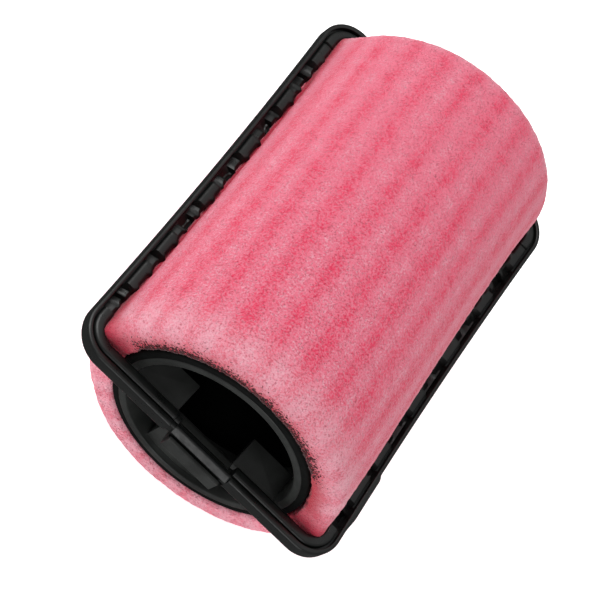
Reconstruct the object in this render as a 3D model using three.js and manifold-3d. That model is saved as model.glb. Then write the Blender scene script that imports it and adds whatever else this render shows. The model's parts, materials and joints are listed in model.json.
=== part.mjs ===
// Foam hair roller with a hinged loop: a foam sleeve on a plastic tube, a moulded hub in each end
// of the tube, and a rectangular loop frame. The near end of the loop turns in the near hub's
// hook, and its far end clicks into the far hub's hook. Hair is wound on the foam and the loop
// closes on it.
//
// Millimetres, +Z up. The roller's axis lies along Y with the hinge end at -Y. The origin is on
// the surface that the roller rests on, under its middle.

import * as THREE from 'three';
import { mergeVertices } from 'three/addons/utils/BufferGeometryUtils.js';
import Module from 'manifold-3d';

const wasm = await Module();
wasm.setup();

// ---------------------------------------------------------------- driving dimensions
const GAP = 0.3; // clearance between pieces that touch on the real roller
const BEYOND = 40; // farther than any point of the roller is from its middle

const FOAM_RADIUS = 19.4;
const FOAM_NEAR_Y = -30.8;
const FOAM_FAR_Y = 30.4;
const FOAM_NEAR_ROUND = 2.5;
const FOAM_FAR_ROUND = 3.4;
const REST_FLAT = 0.35; // how far the foam is flattened where it rests
const AXIS_Z = FOAM_RADIUS - REST_FLAT;

const TUBE_RADIUS = 14.8;
const TUBE_WALL = 1.2;
const TUBE_NEAR_Y = -31.1;
const TUBE_FAR_Y = 30.4;
const TUBE_EDGE_ROUND = 0.5;

const HUB_RADIUS = TUBE_RADIUS - TUBE_WALL - GAP;
const HUB_WALL = 1.4;
const NEAR_HUB_END = 31.2; // distance of each hub's rim from the middle of the roller
const FAR_HUB_END = 30.6;
const HUB_DEPTH = 7;
const HUB_EDGE_ROUND = 0.35;
const WEB_DEPTH = 4.4;
const WEB_INSET = 0.4; // the webs lie a little behind the rim
const WEB_TOP = 0.3;
const WEB_BOTTOM = -1.2;
const SLOT_HALF_WIDTH = 4.4;

const FRAME_LIFT = 0.2; // height of the frame's middle plane over the roller's axis
const FRAME_HALF_WIDTH = 22.3;
const FRAME_HALF_LENGTH = 34.7;
const CORNER_RADIUS = 5;
const SIDE_BOW = 0.75; // how far the middle of each long bar curves in
const NEAR_BAR_WIDTH = 2.8;
const FAR_BAR_WIDTH = 2.2;
const SIDE_BAR_WIDTH = 2.3;
const OUTER_RAIL_WIDTH = 0.9;
const OUTER_RAIL_HEIGHT = 2.6;
const OUTER_RAIL_ROUND = 0.3;
const INNER_RAIL_HEIGHT = 2.2;
const INNER_RAIL_ROUND = 0.4;
const GROOVE_WIDTH = 0.25;
const GROOVE_FLOOR_HEIGHT = 1.2;
const RAIL_ROOT = 0.3; // how deep the groove's floor is buried in both rails
const SPLIT_Y = 28.6; // where the long bars meet the end bars

const NECK_RADIUS = 0.95;
const NECK_Y = FRAME_HALF_LENGTH - NECK_RADIUS;
const NECK_HALF_LENGTH = 4.4;
const NECK_ROOT = 0.5; // how deep the neck is buried in the bar at each end

const POCKET_PITCH = 5.1;
const POCKET_COUNT = 11;
const POCKET_DEPTH = 0.75;
const POCKET_WALL = 0.6; // left standing between two pockets
const TOOTH_PITCH = 3.2;
const TOOTH_COUNT = 17;
const TOOTH_REACH = 0.4;
const TOOTH_LENGTH = 1;
const TOOTH_HEIGHT = 1;
const TOOTH_ROOT = 0.5; // how deep a tooth is buried in its bar

const HOOK_HALF_WIDTH = NECK_HALF_LENGTH - GAP;
const HOOK_CLEARANCE = NECK_RADIUS + GAP;
const HOOK_LIP = 0.6;
const HOOK_LIP_TOP = 0.45;
const HOOK_LIP_BOTTOM = -3.2;
const HOOK_WALL = 0.9;
const HOOK_FOOT_START = 4; // the hook's foot, as distances in from the hub's rim
const HOOK_FOOT_END = 0.6;
const DETENT_START = 0.55; // heights over the neck's axis: where the detent leaves the wall,
const DETENT_TIP = 1.1; // its tip,
const DETENT_TOP = 1.5; // and its top
const DETENT_SLANT = 0.15;
const HINGE_DETENT = 1.05; // the near hook closes over the neck
const CATCH_DETENT = 0.15; // the far hook lets the neck lift out

// Half-width of the foam between the teeth of the two closed bars.
const FOAM_HALF_WIDTH = FRAME_HALF_WIDTH - SIDE_BAR_WIDTH - SIDE_BOW - TOOTH_REACH - GAP;

// ---------------------------------------------------------------- materials
const foamPink = { color: 0xdf5f7c, roughness: 0.95, metalness: 0 };
const blackPlastic = { color: 0x141615, roughness: 0.35, metalness: 0 };

// ---------------------------------------------------------------- solid helpers
function toSolid(geometry) {
  const bare = geometry.clone();
  bare.deleteAttribute('normal');
  bare.deleteAttribute('uv');
  const merged = mergeVertices(bare, 1e-4);
  const mesh = new wasm.Mesh({
    numProp: 3,
    vertProperties: new Float32Array(merged.attributes.position.array),
    triVerts: new Uint32Array(merged.index.array),
  });
  return new wasm.Manifold(mesh);
}

function toGeometry(solid) {
  const mesh = solid.getMesh();
  const geometry = new THREE.BufferGeometry();
  geometry.setAttribute('position', new THREE.BufferAttribute(mesh.vertProperties, 3));
  geometry.setIndex(new THREE.BufferAttribute(mesh.triVerts, 1));
  geometry.computeVertexNormals();
  return geometry;
}

function box(x0, x1, y0, y1, z0, z1) {
  const geometry = new THREE.BoxGeometry(x1 - x0, y1 - y0, z1 - z0);
  geometry.translate((x0 + x1) / 2, (y0 + y1) / 2, (z0 + z1) / 2);
  return toSolid(geometry);
}

function join(solids) {
  return solids.reduce((whole, solid) => whole.add(solid));
}

// A slab of a plan outline, centred on height z, with its top and bottom edges rounded.
function slab(shape, z, height, round, bevelSegments = 1) {
  const geometry = new THREE.ExtrudeGeometry(shape, {
    depth: height - 2 * round,
    curveSegments: 6,
    bevelEnabled: round > 0,
    bevelThickness: round,
    bevelSize: round,
    bevelOffset: -round,
    bevelSegments,
  });
  geometry.translate(0, 0, z - height / 2 + round);
  return toSolid(geometry);
}

// A profile drawn in the (y, z) plane, extruded from -halfWidth to +halfWidth along X.
function sideExtrusion(shape, halfWidth) {
  const geometry = new THREE.ExtrudeGeometry(shape, {
    depth: 2 * halfWidth,
    curveSegments: 8,
    bevelEnabled: false,
  });
  geometry.applyMatrix4(new THREE.Matrix4().set(
    0, 0, 1, -halfWidth,
    1, 0, 0, 0,
    0, 1, 0, 0,
    0, 0, 0, 1,
  ));
  return toSolid(geometry);
}

// A ring around the Y axis with its two outer edges rounded.
function ring(inner, outer, y0, y1, round0, round1, sides, arcSteps) {
  const profile = new THREE.Shape();
  profile.moveTo(inner, y0);
  profile.lineTo(outer - round0, y0);
  profile.absarc(outer - round0, y0 + round0, round0, -Math.PI / 2, 0, false);
  profile.lineTo(outer, y1 - round1);
  profile.absarc(outer - round1, y1 - round1, round1, 0, Math.PI / 2, false);
  profile.lineTo(inner, y1);
  const points = profile.getPoints(arcSteps);
  points.push(points[0].clone());
  return toSolid(new THREE.LatheGeometry(points, sides));
}

// ---------------------------------------------------------------- foam and tube
function foamSleeve() {
  const sleeve = ring(
    TUBE_RADIUS + GAP, FOAM_RADIUS, FOAM_NEAR_Y, FOAM_FAR_Y, FOAM_NEAR_ROUND, FOAM_FAR_ROUND, 48, 4,
  );
  return sleeve.intersect(
    box(-FOAM_HALF_WIDTH, FOAM_HALF_WIDTH, -BEYOND, BEYOND, -AXIS_Z, BEYOND),
  );
}

function coreTube() {
  return ring(
    TUBE_RADIUS - TUBE_WALL, TUBE_RADIUS, TUBE_NEAR_Y, TUBE_FAR_Y,
    TUBE_EDGE_ROUND, TUBE_EDGE_ROUND, 48, 2,
  );
}

// ---------------------------------------------------------------- hubs
// The hook's outline in the (y, z) plane of the far end. It rises from the floor of the hub,
// wraps under the neck of the frame and ends in a low lip outside it.
function hookOutline(hubEnd, detent) {
  const lipInside = NECK_Y + HOOK_CLEARANCE;
  const lipOutside = lipInside + HOOK_LIP;
  const wallInside = NECK_Y - HOOK_CLEARANCE;
  const wallOutside = wallInside - HOOK_WALL;
  const tip = wallInside + detent;
  const floor = -(HUB_RADIUS - HUB_WALL / 2);
  const outline = new THREE.Shape();
  outline.moveTo(lipInside, HOOK_LIP_TOP);
  outline.lineTo(lipInside, FRAME_LIFT);
  outline.absarc(NECK_Y, FRAME_LIFT, HOOK_CLEARANCE, 0, -Math.PI, true);
  outline.lineTo(wallInside, FRAME_LIFT + DETENT_START);
  outline.lineTo(tip, FRAME_LIFT + DETENT_TIP);
  outline.lineTo(tip - DETENT_SLANT, FRAME_LIFT + DETENT_TOP);
  outline.lineTo(wallOutside, FRAME_LIFT + DETENT_TIP);
  outline.lineTo(wallOutside, FRAME_LIFT - HOOK_CLEARANCE);
  outline.lineTo(hubEnd - HOOK_FOOT_START, floor);
  outline.lineTo(hubEnd - HOOK_FOOT_END, floor);
  outline.lineTo(lipOutside, HOOK_LIP_BOTTOM);
  outline.lineTo(lipOutside, HOOK_LIP_TOP);
  return outline;
}

// A hub for the far end; the near one is turned half a turn about Z.
function hub(hubEnd, detent) {
  const rim = ring(
    HUB_RADIUS - HUB_WALL, HUB_RADIUS, hubEnd - HUB_DEPTH, hubEnd,
    HUB_EDGE_ROUND, HUB_EDGE_ROUND, 40, 1,
  );
  const webReach = HUB_RADIUS - HUB_WALL / 2;
  const y0 = hubEnd - WEB_DEPTH;
  const y1 = hubEnd - WEB_INSET;
  const rightWeb = box(SLOT_HALF_WIDTH, webReach, y0, y1, WEB_BOTTOM, WEB_TOP);
  const leftWeb = box(-webReach, -SLOT_HALF_WIDTH, y0, y1, WEB_BOTTOM, WEB_TOP);
  const hook = sideExtrusion(hookOutline(hubEnd, detent), HOOK_HALF_WIDTH);
  return join([rim, rightWeb, leftWeb, hook]);
}

// ---------------------------------------------------------------- loop frame
// Plan outline of the loop, a distance inside its outer face: the long bars bow in, and the inset
// of the two end bars and of the long bars may differ.
function loopOutline(Path, sideInset, nearInset, farInset) {
  const w = FRAME_HALF_WIDTH - sideInset;
  const near = -(FRAME_HALF_LENGTH - nearInset);
  const far = FRAME_HALF_LENGTH - farInset;
  const r = CORNER_RADIUS - sideInset;
  const bow = 2 * SIDE_BOW;
  const path = new Path();
  path.moveTo(-w + r, near);
  path.lineTo(w - r, near);
  path.absarc(w - r, near + r, r, -Math.PI / 2, 0, false);
  path.quadraticCurveTo(w - bow, (near + far) / 2, w, far - r);
  path.absarc(w - r, far - r, r, 0, Math.PI / 2, false);
  path.lineTo(-w + r, far);
  path.absarc(-w + r, far - r, r, Math.PI / 2, Math.PI, false);
  path.quadraticCurveTo(-w + bow, (near + far) / 2, -w, near + r);
  path.absarc(-w + r, near + r, r, Math.PI, 1.5 * Math.PI, false);
  return path;
}

// A rail of the loop. Its outer and inner faces are each given as three distances in from the
// loop's outer face: on the long bars, on the near bar and on the far bar.
function loopRail(from, to, height, round, bevelSegments = 1) {
  const rail = loopOutline(THREE.Shape, ...from);
  rail.holes.push(loopOutline(THREE.Path, ...to));
  return slab(rail, FRAME_LIFT, height, round, bevelSegments);
}

function loopBody() {
  const allRound = (distance) => [distance, distance, distance];
  const widths = [SIDE_BAR_WIDTH, NEAR_BAR_WIDTH, FAR_BAR_WIDTH];
  const floorEdges = widths.map((width) => width - RAIL_ROOT);
  const innerEdge = allRound(OUTER_RAIL_WIDTH + GROOVE_WIDTH);
  return join([
    loopRail(allRound(0), allRound(OUTER_RAIL_WIDTH), OUTER_RAIL_HEIGHT, OUTER_RAIL_ROUND),
    loopRail(allRound(RAIL_ROOT), floorEdges, GROOVE_FLOOR_HEIGHT, 0),
    loopRail(innerEdge, widths, INNER_RAIL_HEIGHT, INNER_RAIL_ROUND, 2),
  ]);
}

// How far in a long bar has curved at a place y along it.
function bowAt(y) {
  const half = FRAME_HALF_LENGTH - CORNER_RADIUS;
  return SIDE_BOW * (1 - (y / half) ** 2);
}

// Pockets cut by turns from the top and the bottom of the inner rail of a long bar.
function pockets(side) {
  const cutters = [];
  const halfLength = (POCKET_PITCH - POCKET_WALL) / 2;
  for (let i = 0; i < POCKET_COUNT; i += 1) {
    const y = (i - (POCKET_COUNT - 1) / 2) * POCKET_PITCH;
    const up = i % 2 === 0 ? 1 : -1;
    const depth = [INNER_RAIL_HEIGHT / 2 - POCKET_DEPTH, OUTER_RAIL_HEIGHT];
    const z = depth.map((height) => FRAME_LIFT + up * height).sort((a, b) => a - b);
    const inner = FRAME_HALF_WIDTH - OUTER_RAIL_WIDTH - bowAt(y);
    const x = [side * (inner - SIDE_BAR_WIDTH), side * inner].sort((a, b) => a - b);
    cutters.push(box(...x, y - halfLength, y + halfLength, ...z));
  }
  return join(cutters);
}

// Short pointed teeth along the inner face of a long bar, which hold the hair.
function teeth(side) {
  const row = [];
  for (let i = 0; i < TOOTH_COUNT; i += 1) {
    const y = (i - (TOOTH_COUNT - 1) / 2) * TOOTH_PITCH;
    const face = FRAME_HALF_WIDTH - SIDE_BAR_WIDTH - bowAt(y);
    const tooth = new THREE.Shape();
    tooth.moveTo(side * (face + TOOTH_ROOT), y - side * TOOTH_LENGTH / 2);
    tooth.lineTo(side * (face + TOOTH_ROOT), y + side * TOOTH_LENGTH / 2);
    tooth.lineTo(side * (face - TOOTH_REACH), y);
    row.push(slab(tooth, FRAME_LIFT, TOOTH_HEIGHT, 0));
  }
  return join(row);
}

function sideBar(body, side) {
  const x = side > 0 ? [0, BEYOND] : [-BEYOND, 0];
  const stretch = box(...x, -SPLIT_Y, SPLIT_Y, -BEYOND, BEYOND);
  return body.intersect(stretch).subtract(pockets(side)).add(teeth(side));
}

function endBar(body, end) {
  const y = end > 0 ? [SPLIT_Y, BEYOND] : [-BEYOND, -SPLIT_Y];
  const stretch = box(-BEYOND, BEYOND, ...y, -BEYOND, BEYOND);
  const middle = box(-NECK_HALF_LENGTH, NECK_HALF_LENGTH, ...y, -BEYOND, BEYOND);
  const neck = new THREE.CylinderGeometry(
    NECK_RADIUS, NECK_RADIUS, 2 * (NECK_HALF_LENGTH + NECK_ROOT), 16,
  );
  neck.rotateZ(Math.PI / 2);
  neck.translate(0, end * NECK_Y, FRAME_LIFT);
  return body.intersect(stretch).subtract(middle).add(toSolid(neck));
}

// ---------------------------------------------------------------- assembly
const roller = new THREE.Group();
roller.position.z = AXIS_Z;

function addPart(parent, name, solid, finish) {
  const mesh = new THREE.Mesh(toGeometry(solid), new THREE.MeshStandardMaterial(finish));
  mesh.name = name;
  parent.add(mesh);
  return mesh;
}

addPart(roller, 'foam_sleeve', foamSleeve(), foamPink);
addPart(roller, 'core_tube', coreTube(), blackPlastic);
addPart(roller, 'far_hub', hub(FAR_HUB_END, CATCH_DETENT), blackPlastic);
const nearHub = addPart(roller, 'near_hub', hub(NEAR_HUB_END, HINGE_DETENT), blackPlastic);
nearHub.rotation.z = Math.PI;

const loop = new THREE.Group();
const body = loopBody();
addPart(loop, 'near_bar', endBar(body, -1), blackPlastic);
addPart(loop, 'far_bar', endBar(body, 1), blackPlastic);
addPart(loop, 'left_bar', sideBar(body, -1), blackPlastic);
addPart(loop, 'right_bar', sideBar(body, 1), blackPlastic);
roller.add(loop);

export default roller;
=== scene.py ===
import json
import math

import bmesh
import bpy
import numpy as np
from mathutils import Matrix, Vector


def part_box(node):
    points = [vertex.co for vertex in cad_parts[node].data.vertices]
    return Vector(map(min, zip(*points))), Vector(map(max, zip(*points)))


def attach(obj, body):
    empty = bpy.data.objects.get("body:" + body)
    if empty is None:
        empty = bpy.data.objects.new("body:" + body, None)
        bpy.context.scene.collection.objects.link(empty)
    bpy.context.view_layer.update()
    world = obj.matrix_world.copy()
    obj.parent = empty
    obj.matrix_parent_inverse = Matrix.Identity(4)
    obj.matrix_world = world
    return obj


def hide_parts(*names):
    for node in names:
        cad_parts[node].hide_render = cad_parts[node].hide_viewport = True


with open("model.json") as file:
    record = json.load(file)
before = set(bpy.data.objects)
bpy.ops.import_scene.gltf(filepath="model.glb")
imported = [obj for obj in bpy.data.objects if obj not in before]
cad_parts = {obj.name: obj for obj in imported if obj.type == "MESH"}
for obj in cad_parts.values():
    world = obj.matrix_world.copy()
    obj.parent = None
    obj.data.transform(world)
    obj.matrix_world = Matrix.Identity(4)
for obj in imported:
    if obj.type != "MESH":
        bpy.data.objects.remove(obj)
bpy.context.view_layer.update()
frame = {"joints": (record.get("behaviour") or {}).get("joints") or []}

# The looks of the foam hair roller: the foam sleeve, its tube and hubs, and the loop frame.
# Sizes in the tables below are millimetres; MM turns them into Blender's metres.
MM = 0.001
SEED = 7

# ---------------------------------------------------------------- places taken from the frame
HINGE = Vector(frame["joints"][0]["pos_m"]) / MM
TUBE_LOW, TUBE_HIGH = (Vector(corner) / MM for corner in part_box("core_tube"))
FOAM_LOW, FOAM_HIGH = (Vector(corner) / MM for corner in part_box("foam_sleeve"))
NEAR_BAR_LOW, NEAR_BAR_HIGH = (Vector(corner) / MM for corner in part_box("near_bar"))

AXIS_Z = (TUBE_LOW.z + TUBE_HIGH.z) / 2
TUBE_RADIUS = TUBE_HIGH.x
HUB_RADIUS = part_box("near_hub")[1][0] / MM
FOAM_RADIUS = FOAM_HIGH.z - AXIS_Z
FRAME_Z = HINGE.z
FRAME_HALF_WIDTH = NEAR_BAR_HIGH.x
FRAME_HALF_LENGTH = -NEAR_BAR_LOW.y
RAIL_HALF_HEIGHT = (NEAR_BAR_HIGH.z - NEAR_BAR_LOW.z) / 2
NECK_Y = -HINGE.y


# ---------------------------------------------------------------- helpers
SHARP_ANGLE = 30  # degrees between two faces, past which their edge stays sharp
BEVEL_ANGLE = 35  # and past which a moulded edge is rounded


def mesh_object(name, verts, faces, smooth_angle=SHARP_ANGLE):
    """A mesh object from millimetre points, smooth except where faces meet sharply."""
    mesh = bpy.data.meshes.new(name)
    mesh.from_pydata((np.asarray(verts) * MM).tolist(), [], faces)
    mesh.validate()
    mesh.shade_smooth()
    mesh.set_sharp_from_angle(angle=math.radians(smooth_angle))
    piece = bpy.data.objects.new(name, mesh)
    bpy.context.scene.collection.objects.link(piece)
    return piece


def grid_faces(rows, columns):
    """Quads of a grid of points, row by row, closed on itself both ways."""
    faces = []
    for i in range(rows):
        this_row, next_row = i * columns, ((i + 1) % rows) * columns
        for j in range(columns):
            after = (j + 1) % columns
            faces.append((this_row + j, this_row + after, next_row + after, next_row + j))
    return faces


def arc(cx, cy, radius, start, end, steps):
    """Points of a circular arc, in degrees, with both ends."""
    angles = np.radians(np.linspace(start, end, steps + 1))
    return [(cx + radius * math.cos(a), cy + radius * math.sin(a)) for a in angles]


def lathe(name, profile, sides):
    """A closed (radius, y) profile turned about the roller's axis."""
    profile = np.array(profile)
    turns = np.linspace(0, 2 * math.pi, sides, endpoint=False)
    radius, y = profile[:, 0], profile[:, 1]
    x = np.cos(turns)[:, None] * radius[None]
    z = np.sin(turns)[:, None] * radius[None] + AXIS_Z
    verts = np.stack([x, np.broadcast_to(y, x.shape), z], axis=2).reshape(-1, 3)
    return mesh_object(name, verts, grid_faces(sides, len(profile)))


def rounded_prism(outline, x0, x1, edge):
    """A (y, z) outline drawn out along X, with every sharp edge rounded."""
    count = len(outline)
    verts = [(x, y, z) for x in (x0, x1) for y, z in outline]
    faces = [tuple(range(count))[::-1], tuple(range(count, 2 * count))]
    faces += [(i, (i + 1) % count, count + (i + 1) % count, count + i) for i in range(count)]
    prism = mesh_object("prism", verts, faces)
    work = bmesh.new()
    work.from_mesh(prism.data)
    bmesh.ops.recalc_face_normals(work, faces=work.faces)
    sharp = [e for e in work.edges if e.calc_face_angle(0) > math.radians(BEVEL_ANGLE)]
    bmesh.ops.bevel(work, geom=sharp, offset=edge * MM, segments=2, profile=0.6, affect="EDGES")
    work.to_mesh(prism.data)
    work.free()
    return prism


def fuse(name, solids):
    """One closed piece from overlapping solids, which are taken away."""
    whole = solids[0]
    for other in solids[1:]:
        union = whole.modifiers.new("union", "BOOLEAN")
        union.operation = "UNION"
        union.solver = "EXACT"
        union.object = other
    depsgraph = bpy.context.evaluated_depsgraph_get()
    mesh = bpy.data.meshes.new_from_object(whole.evaluated_get(depsgraph))
    for solid in solids:
        bpy.data.objects.remove(solid)
    mesh.name = name
    mesh.shade_smooth()
    mesh.set_sharp_from_angle(angle=math.radians(SHARP_ANGLE))
    piece = bpy.data.objects.new(name, mesh)
    bpy.context.scene.collection.objects.link(piece)
    return piece


def smoothstep(low, high, value):
    """0 below low, 1 above high, and a smooth rise between them."""
    t = np.clip((value - low) / (high - low), 0, 1)
    return t * t * (3 - 2 * t)


HASH_AXES = (374761393, 668265263, 2147483647)  # large odd numbers that stir the bits
HASH_SEED = 1274126177
HASH_STIR = 2246822519
WORD = 0xFFFFFFFF
FRACTION = 0xFFFFFF


def lattice(cells, seed):
    """A repeatable random number from 0 to 1 for each whole-number cell."""
    n = sum(cells[..., k] * factor for k, factor in enumerate(HASH_AXES))
    n = (n + seed * HASH_SEED) & WORD
    n = ((n ^ (n >> 13)) * HASH_SEED) & WORD
    n = ((n ^ (n >> 16)) * HASH_STIR) & WORD
    return ((n ^ (n >> 15)) & FRACTION) / FRACTION


def soft_noise(points, size, seed):
    """Smooth random hills about -1 to 1 whose width is about size, at each point."""
    scaled = points / size
    base = np.floor(scaled).astype(np.int64)
    t = scaled - base
    t = t * t * (3 - 2 * t)
    total = np.zeros(len(points))
    for corner in np.ndindex(2, 2, 2):
        weight = np.prod(np.where(np.array(corner) == 1, t, 1 - t), axis=1)
        total += weight * lattice(base + np.array(corner), seed)
    return 2 * total - 1


# ---------------------------------------------------------------- material nodes
class Nodes:
    """Builds one material's node tree, with its Principled shader ready in .shader."""

    def __init__(self, name):
        self.material = bpy.data.materials.new(name)
        self.material.use_nodes = True
        self.tree = self.material.node_tree
        self.shader = self.tree.nodes["Principled BSDF"]

    def add(self, kind, **settings):
        node = self.tree.nodes.new(kind)
        for key, value in settings.items():
            setattr(node, key, value)
        return node

    def link(self, output, target):
        self.tree.links.new(output, target)

    def put(self, value, target):
        if isinstance(value, bpy.types.NodeSocket):
            self.link(value, target)
        else:
            target.default_value = value

    def math(self, operation, *values):
        node = self.add("ShaderNodeMath", operation=operation)
        for value, target in zip(values, node.inputs):
            self.put(value, target)
        return node.outputs[0]

    def noise(self, place, scale, detail=2, roughness=0.5):
        node = self.add("ShaderNodeTexNoise")
        self.link(place, node.inputs["Vector"])
        node.inputs["Scale"].default_value = scale
        node.inputs["Detail"].default_value = detail
        node.inputs["Roughness"].default_value = roughness
        return node.outputs["Fac"]

    def remap(self, value, low, high, to_low, to_high):
        node = self.add("ShaderNodeMapRange", interpolation_type="SMOOTHSTEP")
        numbers = (value, low, high, to_low, to_high)
        for number, key in zip(numbers, ("Value", "From Min", "From Max", "To Min", "To Max")):
            self.put(number, node.inputs[key])
        return node.outputs["Result"]

    def times(self, first, second):
        return self.math("MULTIPLY", first, second)

    def mix(self, factor, first, second):
        node = self.add("ShaderNodeMix", data_type="RGBA")
        self.put(factor, node.inputs["Factor"])
        self.put(first, node.inputs[6])
        self.put(second, node.inputs[7])
        return node.outputs[2]

    def bump(self, height, distance, normal=None):
        node = self.add("ShaderNodeBump")
        node.inputs["Strength"].default_value = 1.0
        node.inputs["Distance"].default_value = distance
        self.link(height, node.inputs["Height"])
        if normal is not None:
            self.link(normal, node.inputs["Normal"])
        return node.outputs["Normal"]

    def place(self):
        return self.add("ShaderNodeTexCoord").outputs["Object"]


# Noise scales, here and for the foam, are in marks per metre.
MOULD_WAVES = 220
MOULD_WAVE_HEIGHT = 0.06
GRAIN = 5200
SCUFFS = 900
TONE_RANGE, SCUFF_RANGE = (0.3, 0.7), (0.25, 0.75)  # the parts of each noise that show
DARKEST, LIGHTEST = 0.75, 1.35  # of the plastic's own shade
SMOOTHER, ROUGHER = -0.07, 0.1  # than the plastic's own roughness


def plastic(name, shade, roughness, shine, grain):
    """Moulded black plastic: a fine grain, slow waves of the mould, and uneven polish."""
    n = Nodes(name)
    place = n.place()
    waves = n.noise(place, MOULD_WAVES, detail=3)
    fine = n.noise(place, GRAIN)
    scuffs = n.noise(place, SCUFFS, detail=4, roughness=0.65)
    tone = n.remap(waves, *TONE_RANGE, 0.0, 1.0)
    dark = tuple(c * DARKEST for c in shade) + (1,)
    light = tuple(c * LIGHTEST for c in shade) + (1,)
    n.link(n.mix(tone, dark, light), n.shader.inputs["Base Color"])
    polish = n.remap(scuffs, *SCUFF_RANGE, roughness + SMOOTHER, roughness + ROUGHER)
    n.link(polish, n.shader.inputs["Roughness"])
    rough = n.bump(fine, grain * MM)
    n.link(n.bump(waves, MOULD_WAVE_HEIGHT * MM, rough), n.shader.inputs["Normal"])
    n.shader.inputs["Specular IOR Level"].default_value = shine
    return n.material


LIGHT_PINK = (0.83, 0.36, 0.44, 1)
MIDDLE_PINK = (0.81, 0.19, 0.27, 1)
DEEP_PINK = (0.77, 0.055, 0.12, 1)
LIT_END_PINK = (0.84, 0.46, 0.53, 1)
CREASE_SHADOW_RED = (0.60, 0.02, 0.055, 1)
RIM_RED = (0.42, 0.015, 0.03, 1)
PORE_RED = (0.50, 0.015, 0.05, 1)
PORE_DARK = (0.05, 0.003, 0.006, 1)
STREAKS_ROUND = 25
STREAK_WANDER = 3.0
STREAK_STRETCH = 0.16  # the wander is this much slower along the roller than round it
STREAK_LEVEL, STREAK_SWING = 0.57, 0.16
DRIFTS, BLOTCHES, CELLS, DOTS, GRAINS, CRUMBS = 230, 480, 3400, 1700, 4600, 3100
BLOTCH_AMOUNT, FLECK_AMOUNT, DOT_AMOUNT, PORE_AMOUNT = 0.55, 1.7, 0.5, 0.45
DOT_SIZE = (0.29, 0.38)  # a mark is whole where its noise is under the first, gone over the second
PORE_SIZE = (0.30, 0.44)
SPECK_SIZE = (0.26, 0.31)
CRISP_NEAR, CRISP_FAR, CRISP_LEAST = -28, 24, 0.45  # the flecks fade toward the far end
# Painted light: the foam is drawn paler toward both ends, where light from the front and from behind
# falls on it.
LIT_NEAR_END, LIT_FAR_END = (-30.5, -24, 0.62, 0.0), (28, 32, 0.0, 0.5)  # two Y, and how pale at each
LIGHT_TO_MIDDLE, MIDDLE_TO_DEEP = (0.05, 0.5), (0.5, 1.0)  # values of the streaks
LIT_ENDS_ON_STREAKS = (0.3, 0.9, 1.0, 0.6)  # the pale ends spare the deepest streaks a little
# Painted shade: a deeper red drawn along the bars above the axis, wider at the near end, where the
# frame shades the foam.
CREASE_SHADE = 0.9
CREASE_STARTS, CREASE_WIDTH = 1.0, 3.4  # above and below the frame's plane
CREASE_WIDER, FRONT_FROM, FRONT_TO = 3.6, -30.6, -28.0  # it is this much wider at the near end
UPPER_LOW, UPPER_HIGH = -2.5, -0.5  # heights over the axis between which the crease fades in
RIM_SHADE = 0.95
RIM_STARTS, RIM_WIDTH = 0.2, 4.2  # out from the bore
RIM_LOW, RIM_HIGH = 1.5, 6.0  # heights over the axis between which the torn rim fades in
SPECK_STARTS, SPECK_REACH, SPECK_GROWTH, SPECK_FADE = 0.1, 4.8, 0.38, 0.02
UNWORN_FROM, UNWORN_TO, UNWORN_HEIGHT = 3.0, 12.0, 7.0  # the rim is less worn low on its right
CELL_DEPTH, PORE_DEPTH = 0.22, -0.06
FOAM_SURFACE = {
    "Roughness": 0.95,
    "Specular IOR Level": 0.1,
    "Sheen Weight": 0.25,
    "Sheen Roughness": 0.35,
}


def foam_streaks(n, place, y, turn, cells, crisp):
    """How deep the pink is, from 0 to about 1: wavy streaks, blotches and flecks."""
    round_place = n.add("ShaderNodeCombineXYZ")
    n.link(n.times(turn, FOAM_RADIUS * MM), round_place.inputs[0])
    n.link(n.times(y, STREAK_STRETCH), round_place.inputs[1])
    drift = n.noise(round_place.outputs[0], DRIFTS, detail=3, roughness=0.6)
    wander = n.times(n.math("SUBTRACT", drift, 0.5), STREAK_WANDER)
    wave = n.math("SINE", n.math("ADD", n.times(turn, STREAKS_ROUND), wander))
    blotch = n.noise(place, BLOTCHES, detail=4, roughness=0.6)
    streak = n.math("MULTIPLY_ADD", wave, STREAK_SWING, STREAK_LEVEL)
    streak = n.math("ADD", streak, n.times(n.math("SUBTRACT", blotch, 0.5), BLOTCH_AMOUNT))
    flecks = n.times(n.math("SUBTRACT", cells, 0.5), n.times(crisp, FLECK_AMOUNT))
    return n.math("ADD", streak, flecks)


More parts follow.
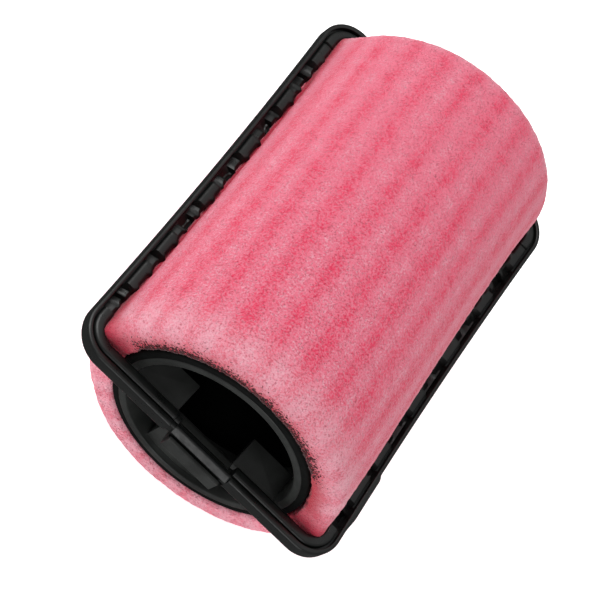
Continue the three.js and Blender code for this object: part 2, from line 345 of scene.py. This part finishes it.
def foam_material():
    """Open-cell foam: streaks along the roller, mottled, with red pores and torn dark edges, painted
    light at both ends and painted shade along the bars.
    """
    n = Nodes("foam_pink")
    place = n.place()
    split = n.add("ShaderNodeSeparateXYZ")
    n.link(place, split.inputs[0])
    x, y, z = split.outputs
    height = n.math("SUBTRACT", z, AXIS_Z * MM)
    turn = n.math("ARCTAN2", height, x)
    radius = n.math("SQRT", n.math("ADD", n.times(x, x), n.times(height, height)))
    cells = n.noise(place, CELLS, roughness=0.6)
    crisp = n.remap(y, CRISP_NEAR * MM, CRISP_FAR * MM, 1.0, CRISP_LEAST)

    streak = foam_streaks(n, place, y, turn, cells, crisp)
    body = n.mix(n.remap(streak, *LIGHT_TO_MIDDLE, 0.0, 1.0), LIGHT_PINK, MIDDLE_PINK)
    body = n.mix(n.remap(streak, *MIDDLE_TO_DEEP, 0.0, 1.0), body, DEEP_PINK)
    # Painted light: paler pink toward both ends.
    ends = [n.remap(y, y0 * MM, y1 * MM, *shades) for y0, y1, *shades in (LIT_NEAR_END, LIT_FAR_END)]
    end_light = n.times(n.math("ADD", *ends), n.remap(streak, *LIT_ENDS_ON_STREAKS))
    body = n.mix(end_light, body, LIT_END_PINK)

    # Painted shade: deeper red along the bars and at the near end, where the frame shades the foam.
    beside = n.math("ABSOLUTE", n.math("SUBTRACT", z, FRAME_Z * MM))
    upper = n.remap(height, UPPER_LOW * MM, UPPER_HIGH * MM, 0.0, 1.0)
    front = n.remap(y, FRONT_FROM * MM, FRONT_TO * MM, 1.0, 0.0)
    crease_end = n.math("MULTIPLY_ADD", front, CREASE_WIDER * MM, CREASE_WIDTH * MM)
    crease = n.remap(beside, CREASE_STARTS * MM, crease_end, CREASE_SHADE, 0.0)
    body = n.mix(n.times(crease, upper), body, CREASE_SHADOW_RED)

    rim_from, rim_to = FOAM_BORE + RIM_STARTS, FOAM_BORE + RIM_WIDTH
    torn_rim = n.remap(radius, rim_from * MM, rim_to * MM, RIM_SHADE, 0.0)
    above = n.remap(height, RIM_LOW * MM, RIM_HIGH * MM, 0.0, 1.0)
    body = n.mix(n.times(torn_rim, above), body, RIM_RED)

    dots = n.remap(n.noise(place, DOTS), *DOT_SIZE, 1.0, 0.0)
    body = n.mix(n.times(dots, n.times(crisp, DOT_AMOUNT)), body, PORE_RED)
    pores = n.remap(n.noise(place, GRAINS), *PORE_SIZE, 1.0, 0.0)
    body = n.mix(n.times(pores, n.times(crisp, PORE_AMOUNT)), body, PORE_RED)

    specks_from, specks_to = FOAM_BORE + SPECK_STARTS, FOAM_BORE + SPECK_REACH
    rim = n.remap(radius, specks_from * MM, specks_to * MM, 1.0, 0.0)
    unworn = n.remap(x, UNWORN_FROM * MM, UNWORN_TO * MM, 0.0, UNWORN_HEIGHT * MM)
    worn = n.remap(n.math("SUBTRACT", height, unworn), RIM_LOW * MM, RIM_HIGH * MM, 0.0, 1.0)
    near_rim = n.times(n.times(rim, worn), n.times(rim, SPECK_GROWTH))
    crumbs = n.noise(place, CRUMBS, roughness=0.6)
    specks = n.remap(n.math("SUBTRACT", crumbs, near_rim), *SPECK_SIZE, 1.0, 0.0)
    at_rim = n.remap(near_rim, 0.0, SPECK_FADE, 0.0, 1.0)
    body = n.mix(n.times(specks, at_rim), body, PORE_DARK)

    n.link(body, n.shader.inputs["Base Color"])
    for key, value in FOAM_SURFACE.items():
        n.shader.inputs[key].default_value = value
    coarse = n.bump(cells, CELL_DEPTH * MM)
    n.link(n.bump(pores, PORE_DEPTH * MM, coarse), n.shader.inputs["Normal"])
    return n.material


# ---------------------------------------------------------------- foam sleeve
FOAM_BORE = TUBE_RADIUS + 0.08
FOAM_NEAR_Y = FOAM_LOW.y - 0.6
FOAM_FAR_Y = FOAM_HIGH.y + 1.0
FOAM_NEAR_ROUND = 2.3
FOAM_FAR_ROUND = 2.6
CORNER_FILL = 0.35  # both edges are squarer where they fill the frame's corners
UNDER_ROUND = 0.35  # and rounder along the underside
FOAM_SIDES = 384
FOAM_STEP, BORE_STEP = 0.31, 5
FOAM_LIP, FOAM_DIP = 0.5, 0.1  # the ends slope in a little round the bore
BAR_TOUCH = 0.04  # left between the foam and the long bars
SQUEEZE_LEFT, SQUEEZE_RIGHT = 0.3, 1.0  # how far the bars draw the foam's sides in
SQUEEZE_HEIGHT = 10.0
BULGE = 0.4  # at the bars' own height the foam swells back out to touch them
BULGE_HEIGHT = 2.0
BULGE_RELIEF = 0.9  # how much of the drawing in it undoes
CREASE = 0.5  # how much deeper it goes along each bar's edge
CREASE_HEIGHT = 1.3
CREASE_SPREAD = 0.8
LIMIT_OPENS, LIMIT_CURVE = 0.14, 1.6  # how fast the foam is free to swell away from a bar
SQUEEZE_NEAR, SQUEEZE_FAR = (-24, 8), (20, 33)  # along Y, where the drawing in starts and ends
RIDGE_HEIGHT = 0.03
RIDGE_FADE = (22, 30)
CREASE_FADE = (18, 25)
ROUGHNESS = ((0.03, 5.0), (0.035, 1.3), (0.07, 0.45))  # height and width of each layer of noise
TORN_HEIGHT, TORN_WIDTH, TORN_REACH = 0.85, 0.5, 0.4  # the bore's torn edges
TORN_LOW, TORN_HIGH = -4, 0  # heights over the frame's plane between which they start
FILL_HEIGHT = 4.0  # over which CORNER_FILL dies away
UNDER_FROM, UNDER_TO = 2, 12  # below the frame's plane, where UNDER_ROUND grows
FLOOR_GAP = 0.02
CONTACT_ROUND, FLOOR_ROUND = 0.15, 0.12  # softness of the edge of each flattened patch
BORE_SKIN = 1  # only points this far outside the bore are pressed by the bars or the floor
TINY = 1e-9  # keeps a division from failing where nothing is to be moved


def bell(distance, width):
    """1 at no distance, falling away smoothly over about width."""
    return np.exp(-((distance / width) ** 2))


def spaced(points, step):
    """The same line with its points spread evenly, about step apart."""
    points = np.array(points)
    along = np.concatenate([[0], np.cumsum(np.linalg.norm(np.diff(points, axis=0), axis=1))])
    count = max(2, round(along[-1] / step))
    wanted = np.linspace(0, along[-1], count + 1)
    return np.stack([np.interp(wanted, along, points[:, k]) for k in (0, 1)], axis=1)


def foam_profile():
    """The sleeve's skin as (radius, y) from the bore's near edge to its far edge, and the bore."""
    r0, r1 = FOAM_NEAR_ROUND, FOAM_FAR_ROUND
    lip, dip = FOAM_LIP, FOAM_DIP
    skin = [(FOAM_BORE, FOAM_NEAR_Y + lip), (FOAM_BORE + lip, FOAM_NEAR_Y + dip)]
    skin += arc(FOAM_RADIUS - r0, FOAM_NEAR_Y + r0, r0, -90, 0, 16)
    skin += arc(FOAM_RADIUS - r1, FOAM_FAR_Y - r1, r1, 0, 90, 16)
    skin += [(FOAM_BORE + lip, FOAM_FAR_Y - dip), (FOAM_BORE, FOAM_FAR_Y - lip)]
    skin = spaced(skin, FOAM_STEP)
    bore = spaced([skin[-1], skin[0]], BORE_STEP)[1:-1]
    return skin, bore


def fill_corners(radius, y, level):
    """Square the sleeve's end edges beside the frame and round them underneath, in place."""
    underneath = smoothstep(UNDER_FROM, UNDER_TO, -level)
    squarer = CORNER_FILL * bell(level, FILL_HEIGHT) - UNDER_ROUND * underneath
    edges = ((-1, -FOAM_NEAR_Y, FOAM_NEAR_ROUND), (1, FOAM_FAR_Y, FOAM_FAR_ROUND))
    for way, end, edge_round in edges:
        edge_r = np.maximum(radius - (FOAM_RADIUS - edge_round), 0)
        edge_y = np.maximum(way * y - (end - edge_round), 0)
        diagonal = (2 * edge_r * edge_y / np.maximum(edge_r ** 2 + edge_y ** 2, TINY)) ** 2
        radius += edge_r * squarer * diagonal
        y += way * edge_y * squarer * diagonal


def pressed_by_bars(x, y, height):
    """X of each point once the long bars have drawn the foam in, swollen it and creased it."""
    bar_face = FRAME_HALF_WIDTH - SIDE_BAR_WIDTH - side_inset(y) - BAR_TOUCH
    crease = CREASE * (1 - smoothstep(*CREASE_FADE, np.abs(y)))
    crease *= bell(height - CREASE_HEIGHT, CREASE_SPREAD)
    limit = bar_face - crease + LIMIT_OPENS * np.maximum(height - CREASE_HEIGHT, 0) ** LIMIT_CURVE
    squeeze = np.where(x < 0, SQUEEZE_LEFT, SQUEEZE_RIGHT)
    squeeze = squeeze * smoothstep(*SQUEEZE_NEAR, y) * (1 - smoothstep(*SQUEEZE_FAR, y))
    at_bar = bell(height, BULGE_HEIGHT)
    squeeze *= bell(height, SQUEEZE_HEIGHT) - BULGE_RELIEF * at_bar
    drawn_in = np.abs(x) * (1 - squeeze / FOAM_RADIUS) + BULGE * at_bar
    return np.sign(x) * soft_minimum(drawn_in, limit, CONTACT_ROUND)


def foam_sleeve():
    """The sleeve: a turned skin, made uneven and torn at the bore, then pressed by bars and floor."""
    skin, bore = foam_profile()
    profile = np.concatenate([skin, bore])
    turns = np.linspace(0, 2 * math.pi, FOAM_SIDES, endpoint=False)
    radius = np.broadcast_to(profile[:, 0], (FOAM_SIDES, len(profile))).copy()
    y = np.broadcast_to(profile[:, 1], radius.shape).copy()
    turn = np.broadcast_to(turns[:, None], radius.shape)
    slopes = np.gradient(profile, axis=0)
    slopes /= np.linalg.norm(slopes, axis=1, keepdims=True)
    out_r, out_y = slopes[:, 1], -slopes[:, 0]
    level = radius * np.sin(turn) + AXIS_Z - FRAME_Z
    fill_corners(radius, y, level)

    flat = np.stack([radius * np.cos(turn), y, radius * np.sin(turn)], axis=2).reshape(-1, 3)
    raised = RIDGE_HEIGHT * np.cos(turn * STREAKS_ROUND) * (1 - smoothstep(*RIDGE_FADE, np.abs(y)))
    for k, (size, width) in enumerate(ROUGHNESS):
        raised = raised + size * soft_noise(flat, width, SEED + k).reshape(radius.shape)
    raised[:, len(skin):] = 0
    tears = soft_noise(flat, TORN_WIDTH, SEED + len(ROUGHNESS)).reshape(radius.shape)
    torn = TORN_HEIGHT * np.abs(tears)
    fade = np.exp(-np.maximum(radius - FOAM_BORE, 0) / TORN_REACH)
    torn *= fade * smoothstep(TORN_LOW, TORN_HIGH, level)
    radius += raised * out_r[None] + torn
    y += raised * out_y[None]

    x = radius * np.cos(turn)
    z = radius * np.sin(turn)
    outer = radius > (FOAM_BORE + BORE_SKIN)
    x = np.where(outer, pressed_by_bars(x, y, np.abs(z + AXIS_Z - FRAME_Z)), x)
    z = np.where(outer, soft_maximum(z, FLOOR_GAP - AXIS_Z, FLOOR_ROUND), z)
    verts = np.stack([x, y, z + AXIS_Z], axis=2).reshape(-1, 3)
    faces = grid_faces(FOAM_SIDES, len(profile))
    piece = mesh_object("foam_sleeve_soft", verts, faces, smooth_angle=180)
    piece.data.materials.append(foam_material())
    return piece


def soft_minimum(a, b, width):
    """The smaller of two values, with the corner between them rounded, never above either."""
    return np.minimum(a, b) - np.maximum(width - np.abs(a - b), 0) ** 2 / (4 * width)


def soft_maximum(a, b, width):
    """The larger of two values, with the corner between them rounded, never below either."""
    return np.maximum(a, b) + np.maximum(width - np.abs(a - b), 0) ** 2 / (4 * width)


# ---------------------------------------------------------------- tube
TUBE_WALL = 1.2
TUBE_ROUND = 0.4
TUBE_INNER_ROUND = 0.2
TUBE_SIDES = 160


def core_tube():
    """The plain tube inside the foam, with its ends' edges rounded."""
    inner = TUBE_RADIUS - TUBE_WALL
    near, far = TUBE_LOW.y, TUBE_HIGH.y
    r, small = TUBE_ROUND, TUBE_INNER_ROUND
    profile = arc(inner + small, near + small, small, 180, 270, 3)
    profile += arc(TUBE_RADIUS - r, near + r, r, 270, 360, 6)
    profile += arc(TUBE_RADIUS - r, far - r, r, 0, 90, 6)
    profile += arc(inner + small, far - small, small, 90, 180, 3)
    return lathe("core_tube_shell", profile, TUBE_SIDES)


# ---------------------------------------------------------------- hubs
HUB_PROUD_NEAR = 0.1  # how far each hub's rim stands out of the tube's end
HUB_PROUD_FAR = 0.2
HUB_WALL = 1.1
HUB_DEPTH = 7.0
HUB_ROUND = 0.2
FLANGE_RADIUS = 13.75  # the hub's rim stands a little over the tube's end
FLANGE_THICKNESS = 0.5
FLANGE_WIDTH = 1.15
WEB_DEPTH = 4.4
WEB_INSET = 0.4
WEB_THICKNESS = 1.2
WEB_TOP_INSIDE = 0.6  # each web slopes down towards the hub's rim
WEB_TOP_OUTSIDE = -1.2
SLOT_HALF_WIDTH = 5.0
EDGE = 0.14  # rounding of moulded edges
NECK_RADIUS = 0.95
HOOK_LEFT = -4.1
HOOK_RIGHT = 4.7
HOOK_CLEARANCE = 1.25  # radius of the cradle round the neck
HOOK_LIP = 0.6
HOOK_LIP_TOP = 0.35
HOOK_LIP_BOTTOM = -2.0
HOOK_WALL = 0.9
HOOK_WALL_TOP = 0.15
HOOK_FLOOR = -2.6
HOOK_WALL_LEAN = 0.2
HOOK_LIP_CHAMFER = (0.5, 0.1)
STEM_INSET = 0.8  # the stem that carries the hook stands this far in from the hub's end
STEM_THICKNESS = 1.4
STEM_FOOT = 1  # its foot is this far inside the hub's outer radius
STEM_BRACE_BACK, STEM_BRACE_FRONT, STEM_BRACE_REACH = 1.2, 0.6, 1.2  # the slopes at its top
HUB_SIDES = 144
MOUTH_SLOPE = 0.6  # the rim's inside slopes in to the hub's wall


def hook_outline(hub_end):
    """The hook's section at the far end: a wall, a cradle under the neck and an outer lip."""
    lip_inside = NECK_Y + HOOK_CLEARANCE
    lip_outside = lip_inside + HOOK_LIP
    wall_inside = NECK_Y - HOOK_CLEARANCE
    wall_outside = wall_inside - HOOK_WALL
    root = hub_end - STEM_INSET
    back = root - STEM_THICKNESS
    foot = STEM_FOOT - HUB_RADIUS
    chamfer_y, chamfer_z = HOOK_LIP_CHAMFER
    outline = [(lip_inside, HOOK_LIP_TOP)]
    outline += arc(NECK_Y, FRAME_Z - AXIS_Z, HOOK_CLEARANCE, 0, -180, 16)
    outline += [
        (wall_outside, HOOK_WALL_TOP),
        (wall_outside - HOOK_WALL_LEAN, HOOK_FLOOR),
        (back, HOOK_FLOOR - STEM_BRACE_BACK),
        (back, foot),
        (root, foot),
        (root, HOOK_FLOOR - STEM_BRACE_FRONT),
        (root + STEM_BRACE_REACH, HOOK_FLOOR),
        (lip_outside - chamfer_y, HOOK_FLOOR + chamfer_z),
        (lip_outside, HOOK_LIP_BOTTOM),
        (lip_outside, HOOK_LIP_TOP),
    ]
    return [(y, z + AXIS_Z) for y, z in outline]


def hub(name, hub_end, half_turn):
    """A hub made for the far end, and turned half a turn about Z for the near end."""
    inner = HUB_RADIUS - HUB_WALL
    start = hub_end - HUB_DEPTH
    flange = hub_end - FLANGE_THICKNESS
    r = HUB_ROUND
    profile = arc(inner + r, start + r, r, 180, 270, 3)
    profile += arc(HUB_RADIUS - r, start + r, r, 270, 360, 3)
    profile += [(HUB_RADIUS, flange), (FLANGE_RADIUS, flange)]
    profile += arc(FLANGE_RADIUS - r, hub_end - r, r, 0, 90, 5)
    profile += arc(FLANGE_RADIUS - FLANGE_WIDTH + r, hub_end - r, r, 90, 180, 4)
    profile += [(inner, flange - MOUTH_SLOPE)]
    solids = [lathe("rim", profile, HUB_SIDES)]
    reach = HUB_RADIUS - HUB_WALL / 2
    y0, y1 = hub_end - WEB_DEPTH, hub_end - WEB_INSET
    z0, z1 = AXIS_Z + WEB_TOP_INSIDE, AXIS_Z + WEB_TOP_OUTSIDE
    web = [(y0, z0 - WEB_THICKNESS), (y1, z1 - WEB_THICKNESS), (y1, z1), (y0, z0)]
    for side in (-1, 1):
        ends = sorted((side * SLOT_HALF_WIDTH, side * reach))
        solids.append(rounded_prism(web, *ends, EDGE))
    solids.append(rounded_prism(hook_outline(hub_end), -HOOK_RIGHT, -HOOK_LEFT, EDGE))
    piece = fuse(name, solids)
    if half_turn:
        piece.data.transform(Matrix.Rotation(math.pi, 4, "Z"))
    return piece


# ---------------------------------------------------------------- loop frame
SIDE_BAR_WIDTH = 2.6
NEAR_BAR_WIDTH = 2.8
FAR_BAR_WIDTH = 2.2
CORNER_RADIUS = 5.0
SIDE_BOW = 0.45  # the long bars curve in this much at their middles
OUTER_RAIL = 0.9
OUTER_RAIL_SIDE = 0.65  # the outer rail is thinner along the long bars
OUTER_ROUND = 0.38
OUTER_ROUND_BELOW = 0.8
GROOVE_WIDTH = 0.22
GROOVE_FLOOR = 0.5
GROOVE_FALL = 0.02  # the groove's floor falls this much toward the inner rail
RAIL_EDGE = 0.15  # rounding of the outer rail's inner edge
INNER_ROUND = 0.55
PAD_TOP = 1.25
BETWEEN_PADS = 0.5
BETWEEN_SLOPE = 0.6  # the low stretches slope down to the groove
PIT_FLOOR = -0.3
PAD_PITCH = 10.3
PAD_LENGTH = 4.6
PAD_SLOPE = (-0.35, 0.05)  # about each end of a pad, where its top falls away
LAST_PAD = 26.1  # the pads are counted back from this one, beside the far corners
PADS = [(LAST_PAD - PAD_PITCH * k, PAD_LENGTH) for k in range(5)] + [(-21.5, 5.2)]
PITS = [LAST_PAD - PAD_PITCH * (k + 0.5) for k in range(4)] + [-26.1]
PIT_LENGTH = 2.0
PIT_WALL = 0.2
TOOTH_PITCH = 3.05
TOOTH_PHASE = -20.2
TOOTH_REACH = 0.42
TOOTH_HALF_LENGTH = 0.55
PLAIN_END = 28.3  # the inner rail is whole beyond this distance along the bars
PLAIN_SLOPE = 0.2
TEETH_END = PLAIN_END - 1
RIB_START, RIB_END = -28.0, -17.4  # the right outer rail is thicker beside the long pad
RIB_THICKNESS = 0.3
RIB_RISE, RIB_FALL = 3.0, 1.1
BAR_END = 4.4  # half the gap that the neck crosses
STEP_LENGTH = 0.9
STEP_SIZE = 0.8  # of the bar's own section
STEP_WALL, NECK_WALL = 0.12, 0.05  # how steeply the bar drops to the step and the step to the neck
NECK_RUN = 0.6  # the neck's first section past the drop
STRAIGHT_STEPS, CORNER_STEPS, LONG_STEPS = 7, 16, 300
NECK_CENTRE = FRAME_HALF_LENGTH - NECK_Y
NECK_FACET = 0.84  # how near its flats are to its centre, as a share of its radius


def side_inset(y):
    """How far a long bar is bowed in from the loop's full half-width."""
    return SIDE_BOW * np.maximum(1 - (y / (FRAME_HALF_LENGTH - CORNER_RADIUS)) ** 2, 0)


def bar_section(width, rail, top, bottom, rib=0.0):
    """Section of the loop as (distance in from its outer face, height), closed, one point order."""
    groove_end = rail + GROOVE_WIDTH

    def half(height, round_out):
        slope = BETWEEN_SLOPE * (1 - smoothstep(BETWEEN_PADS, PAD_TOP, height))
        outer_top = height - slope
        floor = min(GROOVE_FLOOR, outer_top) - GROOVE_FALL
        round_in = min(INNER_ROUND, outer_top - floor)
        points = arc(round_out - rib, RAIL_HALF_HEIGHT - round_out, round_out, 180, 90, 6)
        points += arc(rail - RAIL_EDGE, RAIL_HALF_HEIGHT - RAIL_EDGE, RAIL_EDGE, 90, 0, 3)
        points += [(rail, GROOVE_FLOOR), (groove_end, floor)]
        points += arc(groove_end + round_in, outer_top - round_in, round_in, 170, 90, 4)
        points += arc(width - INNER_ROUND, height - INNER_ROUND, INNER_ROUND, 90, 0, 5)
        return points

    upper = half(top, OUTER_ROUND)
    lower = [(d, -h) for d, h in half(bottom, OUTER_ROUND_BELOW)][::-1]
    return np.array(upper + lower)


def neck_section(count):
    """The neck's section, round with four soft flats, in the same point order as a bar's."""
    angles = math.pi - 2 * math.pi * (np.arange(count) + 0.5) / count
    from_facet = (angles % (math.pi / 2)) - math.pi / 4
    radius = NECK_RADIUS * np.minimum(1, NECK_FACET / np.cos(from_facet))
    return np.stack([NECK_CENTRE + radius * np.cos(angles), radius * np.sin(angles)], axis=1)


def inner_rail_height(y, with_pits):
    """Height of the inner rail along a long bar: pads, lower stretches and pits between them."""
    inside, outside = PAD_SLOPE
    pad = smoothstep(PLAIN_END - PLAIN_SLOPE, PLAIN_END + PLAIN_SLOPE, abs(y))
    for at, length in PADS:
        pad = max(pad, 1 - smoothstep(length / 2 + inside, length / 2 + outside, abs(y - at)))
    height = BETWEEN_PADS + (PAD_TOP - BETWEEN_PADS) * pad
    if with_pits:
        near = min(abs(y - at) for at in PITS)
        dug = 1 - smoothstep(PIT_LENGTH / 2 - PIT_WALL, PIT_LENGTH / 2, near)
        height -= (BETWEEN_PADS - PIT_FLOOR) * dug
    return height


def tooth_at(y):
    """How far a tooth reaches in past a long bar's inner face."""
    offset = abs((y - TOOTH_PHASE + TOOTH_PITCH / 2) % TOOTH_PITCH - TOOTH_PITCH / 2)
    here = max(0.0, 1 - offset / TOOTH_HALF_LENGTH)
    return TOOTH_REACH * here if abs(y) < TEETH_END else 0.0


def rib_at(y):
    """How far the right bar's outer face stands out."""
    rise = smoothstep(RIB_START, RIB_START + RIB_RISE, y)
    return RIB_THICKNESS * rise * (1 - smoothstep(RIB_END - RIB_FALL, RIB_END, y))


def loop_stations():
    """Sections round the loop: (point on the outer face, way in, section)."""
    w, h, r = FRAME_HALF_WIDTH, FRAME_HALF_LENGTH, CORNER_RADIUS
    stations = []

    def end_bar(y, way, width, stepped):
        """An end bar's straight halves and its neck, with a step down to it on some sides."""
        bar = bar_section(width, OUTER_RAIL, PAD_TOP, PAD_TOP)
        middle = np.array([width / 2, 0])
        step = middle + (bar - middle) * STEP_SIZE
        neck = neck_section(len(bar))
        for side in (-way, way):
            end = BAR_END + STEP_LENGTH
            marks = [(x, bar) for x in np.linspace(w - r, end, STRAIGHT_STEPS)]
            if side in stepped:
                marks += [(end - STEP_WALL, step), (BAR_END + NECK_WALL, step)]
                end = BAR_END
            marks += [(end, neck), (end - NECK_RUN, neck)]
            if side == way:
                marks.reverse()
            for x, section in marks:
                stations.append(((side * x, y), (0, way), section))

    def corner(cx, cy, start, width0, width1, to_side):
        """A quarter turn from one bar's width to the next, into or out of a long bar."""
        for k in range(1, CORNER_STEPS):
            a = math.radians(start + 90 * k / CORNER_STEPS)
            t = smoothstep(0, 1, k / CORNER_STEPS)
            width = width0 + (width1 - width0) * t
            rail = OUTER_RAIL + (OUTER_RAIL_SIDE - OUTER_RAIL) * (t if to_side else 1 - t)
            point = (cx + r * math.cos(a), cy + r * math.sin(a))
            section = bar_section(width, rail, PAD_TOP, PAD_TOP)
            stations.append((point, (-math.cos(a), -math.sin(a)), section))

    def long_bar(side):
        """A long bar with its pads, pits and teeth; only the right one has the rib."""
        for k in range(LONG_STEPS + 1):
            y = side * (2 * k / LONG_STEPS - 1) * (h - r)
            section = bar_section(
                SIDE_BAR_WIDTH + tooth_at(y),
                OUTER_RAIL_SIDE,
                inner_rail_height(y, True),
                inner_rail_height(-y, False),
                rib_at(y) if side > 0 else 0,
            )
            stations.append(((side * w, y), (-side, 0), section))

    end_bar(-h, 1, NEAR_BAR_WIDTH, (-1,))
    corner(w - r, -h + r, -90, NEAR_BAR_WIDTH, SIDE_BAR_WIDTH, True)
    long_bar(1)
    corner(w - r, h - r, 0, SIDE_BAR_WIDTH, FAR_BAR_WIDTH, False)
    end_bar(h, -1, FAR_BAR_WIDTH, (-1, 1))
    corner(-w + r, h - r, 90, FAR_BAR_WIDTH, SIDE_BAR_WIDTH, True)
    long_bar(-1)
    corner(-w + r, -h + r, 180, SIDE_BAR_WIDTH, NEAR_BAR_WIDTH, False)
    return stations


def loop_frame():
    """The whole loop as one closed sweep of its sections, then bowed."""
    stations = loop_stations()
    sections = [
        [(x + in_x * inward, y + in_y * inward, FRAME_Z + height) for inward, height in section]
        for (x, y), (in_x, in_y), section in stations
    ]
    verts = np.array(sections).reshape(-1, 3)
    corner_x = FRAME_HALF_WIDTH - CORNER_RADIUS
    share = smoothstep(BAR_END + STEP_LENGTH, corner_x, np.abs(verts[:, 0]))
    verts[:, 0] -= np.sign(verts[:, 0]) * share * side_inset(verts[:, 1])
    faces = grid_faces(len(stations), len(sections[0]))
    return mesh_object("loop_frame", verts, faces, smooth_angle=35)


# ---------------------------------------------------------------- stage, lights and camera
CAMERA_AT = (-56.1, -162.5, 242.2)
CAMERA_TARGET = (-1.2, -5.7, AXIS_Z)
CAMERA_ROLL = 60.5  # degrees, clockwise as the camera sees it
CAMERA_LENS = 123.3
# The surround: how it brightens toward each direction, as from, to, least and most.
SKY = (
    ((0.0, -0.6, 1.0), (-1.15, -0.1, 0.05, 0.30)),
    ((0.15, 0.30, 0.94), (0.76, 0.93, 0.0, 0.48)),
)
LIGHTS = (  # name, place and width in metres, watts
    ("front", (0.20, -0.60, 0.30), 0.35, 1.1),
    ("left", (-0.35, 0.10, 0.58), 0.45, 3.0),
)
LIGHTS_AIM = (0, 0, 0.02)
FLOOR_REACH = 5000
FLOOR_SURFACE = {
    "Base Color": (0.95, 0.95, 0.95, 1),
    "Roughness": 0.9,
    "Specular IOR Level": 0.0,
    "Emission Color": (1, 1, 1, 1),
    "Emission Strength": 0.7,
}


def place_camera():
    """The camera, turned about its own line of sight by CAMERA_ROLL."""
    data = bpy.data.cameras.new("camera")
    data.lens = CAMERA_LENS
    data.clip_start = 0.01
    camera = bpy.data.objects.new("camera", data)
    bpy.context.scene.collection.objects.link(camera)
    camera.location = Vector(CAMERA_AT) * MM
    aim = (Vector(CAMERA_TARGET) - Vector(CAMERA_AT)).to_track_quat("-Z", "Y").to_matrix().to_4x4()
    turn = Matrix.Rotation(math.radians(CAMERA_ROLL), 4, "Z")
    camera.matrix_world = Matrix.Translation(camera.location) @ aim @ turn
    bpy.context.scene.camera = camera


def area_light(name, place, size, power):
    """A square light that faces the roller."""
    data = bpy.data.lights.new(name, "AREA")
    data.size = size
    data.energy = power
    light = bpy.data.objects.new(name, data)
    light.location = place
    aim = Vector(LIGHTS_AIM) - Vector(place)
    light.rotation_euler = aim.to_track_quat("-Z", "Y").to_euler()
    bpy.context.scene.collection.objects.link(light)


def surround():
    """A soft sky, whose brightness adds up what each row of SKY gives."""
    world = bpy.data.worlds.new("studio")
    world.use_nodes = True
    tree = world.node_tree
    background = tree.nodes["Background"]
    background.inputs["Color"].default_value = (1, 1, 1, 1)
    way = tree.nodes.new("ShaderNodeTexCoord")
    total = tree.nodes.new("ShaderNodeMath")
    for (toward, ramp_values), share in zip(SKY, total.inputs):
        facing = tree.nodes.new("ShaderNodeVectorMath")
        facing.operation = "DOT_PRODUCT"
        facing.inputs[1].default_value = toward
        tree.links.new(way.outputs["Generated"], facing.inputs[0])
        ramp = tree.nodes.new("ShaderNodeMapRange")
        tree.links.new(facing.outputs["Value"], ramp.inputs["Value"])
        for key, value in zip(("From Min", "From Max", "To Min", "To Max"), ramp_values):
            ramp.inputs[key].default_value = value
        tree.links.new(ramp.outputs["Result"], share)
    tree.links.new(total.outputs[0], background.inputs["Strength"])
    bpy.context.scene.world = world


def studio():
    """The sky, two soft lights, and a white floor that mirror-like reflections leave out."""
    surround()
    for name, place, size, power in LIGHTS:
        area_light(name, place, size, power)
    reach = FLOOR_REACH
    verts = [(-reach, -reach, 0), (reach, -reach, 0), (reach, reach, 0), (-reach, reach, 0)]
    floor = mesh_object("floor", verts, [(0, 1, 2, 3)])
    n = Nodes("floor_white")
    for key, value in FLOOR_SURFACE.items():
        n.shader.inputs[key].default_value = value
    floor.data.materials.append(n.material)
    floor.visible_glossy = False
    bpy.context.scene.view_settings.view_transform = "Standard"


# ---------------------------------------------------------------- making
place_camera()
studio()

CORE_SHADE = (0.021, 0.0225, 0.0212)
TUBE_SHADE = (0.004, 0.0044, 0.0042)
FRAME_SHADE = (0.005, 0.0058, 0.0054)
core_black = plastic("core_black", CORE_SHADE, roughness=0.36, shine=0.34, grain=0.012)
tube_black = plastic("tube_black", TUBE_SHADE, roughness=0.75, shine=0.10, grain=0.020)
frame_black = plastic("frame_black", FRAME_SHADE, roughness=0.32, shine=0.4, grain=0.010)

foam = foam_sleeve()
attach(foam, "roller")
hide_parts("foam_sleeve")

tube = core_tube()
tube.data.materials.append(tube_black)
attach(tube, "roller")
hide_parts("core_tube")

loop = loop_frame()
loop.data.materials.append(frame_black)
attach(loop, "loop")
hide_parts("near_bar", "far_bar", "left_bar", "right_bar")

near_hub = hub("near_hub_shell", HUB_PROUD_NEAR - TUBE_LOW.y, True)
far_hub = hub("far_hub_shell", HUB_PROUD_FAR + TUBE_HIGH.y, False)
for piece, node in ((near_hub, "near_hub"), (far_hub, "far_hub")):
    piece.data.materials.append(core_black)
    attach(piece, "roller")
    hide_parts(node)
